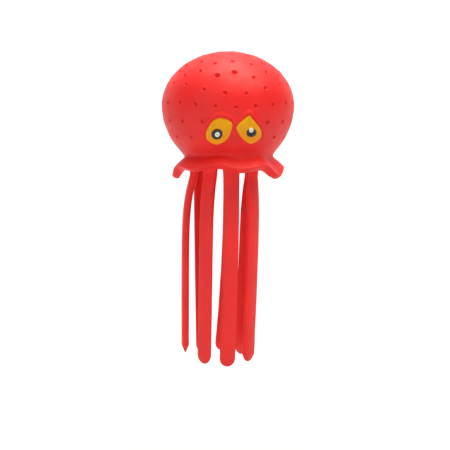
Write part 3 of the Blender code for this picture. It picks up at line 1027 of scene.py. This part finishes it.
def strip_section(count, exponent):
    """A rounded flat strip's cross-section, 1 wide and 1 thick each way, as (side, out)."""
    power = 2.0 / exponent
    section = []
    for k in range(count):
        turn = math.tau * (k + 0.5) / count
        side, out = math.cos(turn), math.sin(turn)
        section.append((math.copysign(abs(side) ** power, side),
                        math.copysign(abs(out) ** power, out)))
    return section


def arm_rings(toy, arm, levels):
    """Rings square to the arm's line at these heights."""
    arms = toy.arms
    azimuth = math.radians(ARMS[arm][0])
    tip_z = -ARMS[arm][5] * MM
    section = strip_section(36, 2.7)
    rings = []
    for z in levels:
        middle, part = arm_line(toy, arm, z)
        along = arm_line(toy, arm, z - 0.5 * MM)[0] - arm_line(toy, arm, z + 0.5 * MM)[0]
        along.normalize()
        side_way = (Vector((1.0, 0.0, 0.0)) - along * along.x).normalized()
        out_way = along.cross(side_way)
        below_floor = max(0.0, FLOOR_UNDERSIDE - z)
        flare = arms.flare * math.exp(-below_floor / (1.8 * MM))
        near_tip = min(1.0, max(0.0, 1.0 - (z - tip_z) / arms.tip_length))
        round_end = math.sqrt(max(0.0, 1.0 - near_tip * near_tip))
        half_width = mix(arms.width_top, arms.width_tip, part) / 2 * (1.0 + flare)
        half_width *= max(0.04, round_end)
        half_thickness = mix(arms.thickness_top, arms.thickness_tip, part) / 2
        half_thickness *= (1.0 + 1.6 * flare) * (1.0 - 0.93 * near_tip)
        uneven = 1.0 + 0.02 * noise.noise(Vector((azimuth * 7.0, 0.0, z * 90.0)))
        ring = []
        for side, out in section:
            spot = (middle + side_way * side * half_width * uneven
                    + out_way * out * half_thickness)
            ring.append(around(azimuth, spot.y, spot.z, side=spot.x))
        rings.append(ring)
    return rings


def make_arm(toy, arm):
    """One arm in two strips that meet, unseen, just above the middle bend."""
    root = HINGES[f"{arm}_root_bend"]
    middle = HINGES[f"{arm}_middle_bend"]
    seam = middle.z + SEAM_HEIGHT
    tip_z = -ARMS[arm][5] * MM
    top = FLOOR_UNDERSIDE + ROOT_OVERLAP
    flared = [top - 0.6 * MM * k for k in range(12)]
    upper = flared + [mix(flared[-1], seam, k / 34) for k in range(1, 35)]
    start = tip_z + toy.arms.tip_length
    lower = [mix(seam, start, k / 52) for k in range(53)]
    lower += [start - toy.arms.tip_length * math.sin(math.pi / 2 * k / 10) for k in range(1, 11)]
    halves = (
        ("upper", upper, "base", f"{arm}_upper", FLOOR_UNDERSIDE, 2 * root.z - FLOOR_UNDERSIDE),
        ("lower", lower, f"{arm}_upper", f"{arm}_lower", middle.z + BEND_REACH,
         middle.z - BEND_REACH),
    )
    for half, levels, above, below, start_z, end_z in halves:
        mesh = bmesh.new()
        loft(mesh, arm_rings(toy, arm, levels))
        strip = make_object(f"strip_{arm}_{half}", mesh, finish_of("arm"), sharp=75.0)
        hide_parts(f"arm_{arm}_{half}")
        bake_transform(strip)


# ---- stage

def stage_finish():
    made, tree, shader, position = new_finish("studio_white", Roughness=0.9)
    # Painted shade: near the toy the floor is a darker grey and glows less, standing in for a soft
    # shadow; farther off it is pale and glows white.
    away = add(tree, "ShaderNodeVectorMath", position, operation="LENGTH", out="Value")
    pale = tint(tree, grain(tree, position, 6.0), (0.86, 0.86, 0.86), (0.9, 0.9, 0.9))
    feed(tree, shader.inputs["Base Color"],
         tint(tree, ramp(tree, away, 0.32, 0.7), (0.6, 0.6, 0.6), pale))
    shader.inputs["Emission Color"].default_value = (1.0, 1.0, 1.0, 1.0)
    feed(tree, shader.inputs["Emission Strength"], ramp(tree, away, 0.32, 0.62, 0.08, 0.58))
    return made


def make_sweep(drop):
    """A floor that curves up into a backdrop."""
    mesh = bmesh.new()
    curve, back, wide, front, top = 0.5, 1.6, 4.0, -3.0, 4.0
    outline = [(front, 0.0), (back - curve, 0.0)]
    outline += [(back - curve + curve * math.sin(t), curve - curve * math.cos(t))
                for t in (math.pi / 2 * k / 16 for k in range(1, 17))]
    outline.append((back, top))
    rows = [[mesh.verts.new((x, y, z - drop)) for y, z in outline] for x in (-wide, wide)]
    for k in range(len(outline) - 1):
        mesh.faces.new((rows[0][k], rows[1][k], rows[1][k + 1], rows[0][k + 1]))
    sweep = make_object("studio_sweep", mesh, stage_finish(), sharp=180.0)


def aim(thing, target):
    thing.rotation_euler = (Vector(target) - thing.location).to_track_quat("-Z", "Y").to_euler()


def make_light(name, location, target, size, power, colour=(1.0, 1.0, 1.0)):
    lamp = bpy.data.lights.new(name, "AREA")
    lamp.shape = "RECTANGLE"
    lamp.size, lamp.size_y = size
    lamp.energy = power
    lamp.color = colour
    made = link(name, lamp)
    made.location = location
    aim(made, target)


def make_camera(stage):
    """A camera at the height of the face, looking slightly down at the toy's middle."""
    turn = stage.camera_turn
    right = Vector((math.cos(turn), math.sin(turn), 0.0))
    back = Vector((math.sin(turn), -math.cos(turn), 0.0))
    lens = bpy.data.cameras.new("camera")
    lens.sensor_width = 36.0
    lens.lens = lens.sensor_width * stage.camera_distance / stage.view_width
    made = link("camera", lens)
    target = -right * stage.camera_shift - Vector((0.0, 0.0, stage.aim_drop))
    made.location = target + back * stage.camera_distance
    made.location.z = -stage.camera_drop
    aim(made, target)
    bpy.context.scene.camera = made


def make_stage(stage):
    make_sweep(stage.floor_drop)
    middle = (0.0, 0.0, -0.05)
    make_light("overhead_softbox", (0.09, -0.10, 0.50), middle, (0.5, 0.8), 6.1,
               colour=(1.0, 0.985, 0.89))
    make_light("front_fill", (-0.6, -0.7, 0.3), (0.0, 0.0, -0.08), (0.5, 0.5), 1.55)
    world = bpy.data.worlds.new("studio_air")
    world.use_nodes = True
    air = world.node_tree.nodes["Background"]
    air.inputs["Color"].default_value = (1.0, 1.0, 1.0, 1.0)
    air.inputs["Strength"].default_value = 0.16
    bpy.context.scene.world = world
    bpy.context.scene.view_settings.view_transform = "Standard"
    make_camera(stage)


# ---- operators

class OCTOPUS_OT_skin(bpy.types.Operator):
    """Build the head and the skirt as one pitted rubber skin"""
    bl_idname = "octopus.skin"
    bl_label = "Head and Skirt"

    def execute(self, context):
        make_skin(context.scene.octopus_toy)
        return {"FINISHED"}


class OCTOPUS_OT_filling(bpy.types.Operator):
    """Build the wad of fibre inside the head"""
    bl_idname = "octopus.filling"
    bl_label = "Filling"

    def execute(self, context):
        make_filling(context.scene.octopus_toy)
        return {"FINISHED"}


class OCTOPUS_OT_floor(bpy.types.Operator):
    """Build the floor of the head and the bung in it"""
    bl_idname = "octopus.floor"
    bl_label = "Floor and Bung"

    def execute(self, context):
        make_floor()
        make_bung()
        return {"FINISHED"}


class OCTOPUS_OT_eyes(bpy.types.Operator):
    """Build the painted eyes"""
    bl_idname = "octopus.eyes"
    bl_label = "Eyes"

    def execute(self, context):
        make_eyes(context.scene.octopus_toy)
        return {"FINISHED"}


class OCTOPUS_OT_arms(bpy.types.Operator):
    """Build the eight hanging arms"""
    bl_idname = "octopus.arms"
    bl_label = "Arms"

    def execute(self, context):
        for arm in ARMS:
            make_arm(context.scene.octopus_toy, arm)
        return {"FINISHED"}


class OCTOPUS_OT_stage(bpy.types.Operator):
    """Set the floor, the lights and the camera"""
    bl_idname = "octopus.stage"
    bl_label = "Stage"

    def execute(self, context):
        make_stage(context.scene.octopus_toy.stage)
        return {"FINISHED"}


OPERATORS = (OCTOPUS_OT_skin, OCTOPUS_OT_filling, OCTOPUS_OT_floor, OCTOPUS_OT_eyes,
             OCTOPUS_OT_arms, OCTOPUS_OT_stage)


class OCTOPUS_PT_panel(bpy.types.Panel):
    """Lists the toy's pieces"""
    bl_idname = "OCTOPUS_PT_panel"
    bl_label = "Octopus Toy"
    bl_space_type = "VIEW_3D"
    bl_region_type = "UI"
    bl_category = "Octopus Toy"

    def draw(self, context):
        column = self.layout.column()
        for operator in OPERATORS:
            column.operator(operator.bl_idname)
        toy = context.scene.octopus_toy
        for group in (getattr(toy, name) for name in ToySettings.__annotations__):
            box = self.layout.box()
            for setting in group.bl_rna.properties:
                if not setting.is_readonly and setting.identifier != "name":
                    box.prop(group, setting.identifier)


CLASSES = (HeadSettings, PitSettings, SkirtSettings, EyeSettings, ArmSettings, FillingSettings,
           ColourSettings, StageSettings, ToySettings, *OPERATORS, OCTOPUS_PT_panel)


def register():
    for made in CLASSES:
        bpy.utils.register_class(made)
    bpy.types.Scene.octopus_toy = PointerProperty(type=ToySettings)


def unregister():
    del bpy.types.Scene.octopus_toy
    for made in reversed(CLASSES):
        bpy.utils.unregister_class(made)


def main():
    register()
    for operator in OPERATORS:
        group, name = operator.bl_idname.split(".")
        getattr(getattr(bpy.ops, group), name)()


if __name__ == "__main__":
    main()
